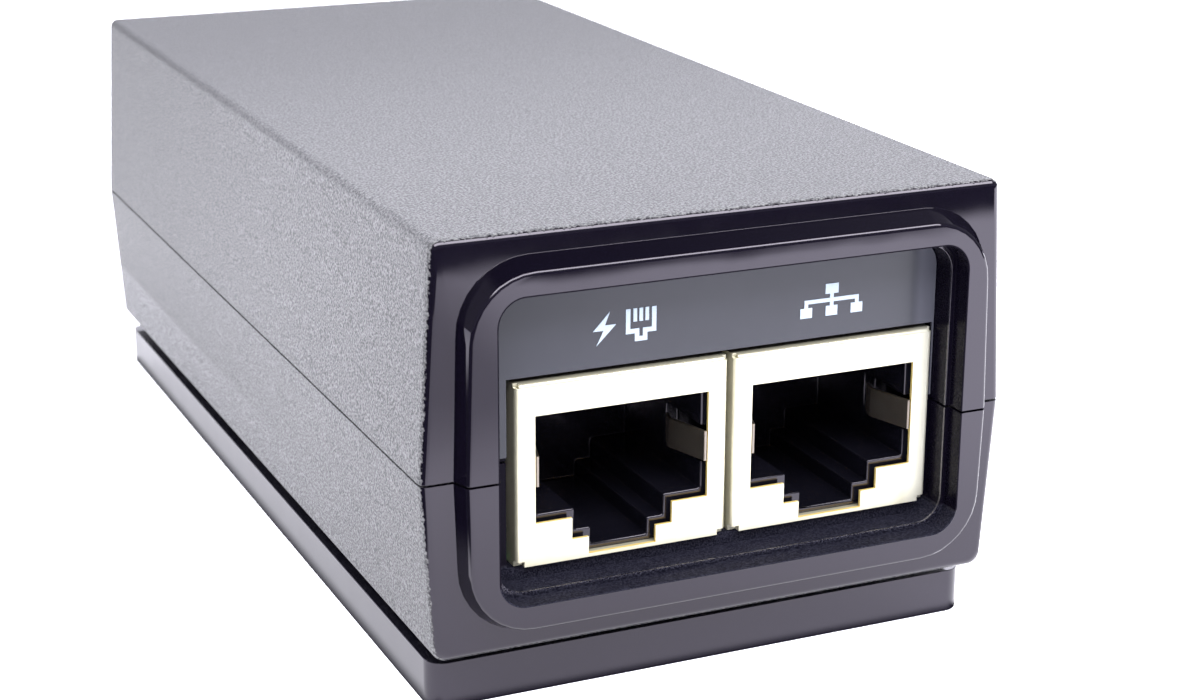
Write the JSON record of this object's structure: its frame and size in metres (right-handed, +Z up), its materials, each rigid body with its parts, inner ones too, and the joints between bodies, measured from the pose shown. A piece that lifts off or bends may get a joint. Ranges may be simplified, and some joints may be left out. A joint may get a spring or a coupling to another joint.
{
  "type": "power over ethernet injector",
  "caption": "Passive power over Ethernet injector with two shielded jacks, a mains inlet, an internal supply and a slide-off wall bracket.",
  "frame": {"origin": "centre of the footprint, on the underside of the wall bracket", "axes": "+Y runs from the jack end to the mains inlet end, +Z is up away from the bracket, +X is to the right when facing the jacks"},
  "size_m": [0.0432, 0.0878, 0.0325],
  "materials": {
    "case_plastic": "fine textured satin black",
    "gloss_plastic": "gloss black",
    "steel": "zinc plated",
    "label": "smooth grey overlay",
    "ink": "printed",
    "shield": "satin nickel plate",
    "jack_plastic": "gloss black",
    "gold": "gold plated",
    "tin": "tin plated",
    "board": "green solder mask",
    "film": "translucent film",
    "wire_brown": "satin",
    "wire_blue": "satin",
    "wire_green": "satin",
    "component_black": "moulded epoxy",
    "component_blue": "dipped epoxy",
    "component_grey": "moulded",
    "ferrite": "sintered",
    "copper": "enamelled wire",
    "aluminium": "drawn",
    "sleeve": "shrunk sleeve",
    "tape": "polyester tape"
  },
  "bodies": {
    "case": {"upper_shell": "case_plastic", "lower_shell": "case_plastic", "case_screws": "steel", "port_label": "label", "port_marks": "ink", "poe_jack_shield": "shield", "poe_jack_housing": "jack_plastic", "poe_contact_tails": "gold", "poe_contact_carrier": "jack_plastic", "lan_jack_shield": "shield", "lan_jack_housing": "jack_plastic", "lan_contact_tails": "gold", "lan_contact_carrier": "jack_plastic", "circuit_board": "board", "insulation_sheet": "film", "inlet_body": "jack_plastic", "inlet_pins": "tin", "live_wire": "wire_brown", "neutral_wire": "wire_blue", "earth_wire": "wire_green", "fuse": "component_black", "varistor": "component_blue", "x_capacitor": "component_grey", "choke_core": "ferrite", "choke_windings": "copper", "bridge_rectifier": "component_black", "bulk_capacitor_can": "aluminium", "bulk_capacitor_sleeve": "sleeve", "switching_controller": "component_black", "transformer_core": "ferrite", "transformer_bobbin": "component_black", "transformer_winding": "copper", "transformer_tape": "tape", "transformer_pins": "tin", "y_capacitor": "component_blue", "optocoupler": "component_black", "output_diode": "component_black", "output_heatsink": "aluminium", "heatsink_screw": "steel", "output_capacitor_cans": "aluminium", "output_capacitor_sleeves": "sleeve", "output_inductor": "ferrite"},
    "bracket": {"wall_bracket": "gloss_plastic"},
    "latch": {"bracket_latch": "gloss_plastic"},
    "poe_springs": {"poe_contact_springs": "gold"},
    "poe_left": {"poe_finger_left": "shield"},
    "poe_right": {"poe_finger_right": "shield"},
    "lan_springs": {"lan_contact_springs": "gold"},
    "lan_left": {"lan_finger_left": "shield"},
    "lan_right": {"lan_finger_right": "shield"}
  },
  "joints": [
    {"name": "bracket_slide", "type": "slide", "parent": "case", "child": "bracket", "axis": [0, -1, 0], "range_m": [0, 0.008]},
    {"name": "latch_flex", "type": "hinge", "parent": "bracket", "child": "latch", "pos_m": [0, 0.02, 0.0022], "axis": [-1, 0, 0], "range_deg": [0, 3.7]},
    {"name": "poe_spring_flex", "type": "hinge", "parent": "case", "child": "poe_springs", "pos_m": [-0.00671, -0.0379, 0.0201], "axis": [1, 0, 0], "range_deg": [0, 10]},
    {"name": "poe_finger_right_flex", "type": "hinge", "parent": "case", "child": "poe_right", "pos_m": [-0.0006, -0.04067, 0.01567], "axis": [0, 0, -1], "range_deg": [0, 12]},
    {"name": "poe_finger_left_flex", "type": "hinge", "parent": "case", "child": "poe_left", "pos_m": [-0.01283, -0.04067, 0.01567], "axis": [0, 0, 1], "range_deg": [0, 12]},
    {"name": "lan_spring_flex", "type": "hinge", "parent": "case", "child": "lan_springs", "pos_m": [0.00915, -0.0379, 0.0201], "axis": [1, 0, 0], "range_deg": [0, 10]},
    {"name": "lan_finger_right_flex", "type": "hinge", "parent": "case", "child": "lan_right", "pos_m": [0.01528, -0.04067, 0.01567], "axis": [0, 0, -1], "range_deg": [0, 12]},
    {"name": "lan_finger_left_flex", "type": "hinge", "parent": "case", "child": "lan_left", "pos_m": [0.00303, -0.04067, 0.01567], "axis": [0, 0, 1], "range_deg": [0, 12]}
  ],
  "couplings": [
    {"joint": "latch_flex", "follows": "bracket_slide", "rad_per_m": 7.854},
    {"joint": "poe_finger_left_flex", "follows": "poe_finger_right_flex", "ratio": 1},
    {"joint": "lan_finger_left_flex", "follows": "lan_finger_right_flex", "ratio": 1}
  ]
}
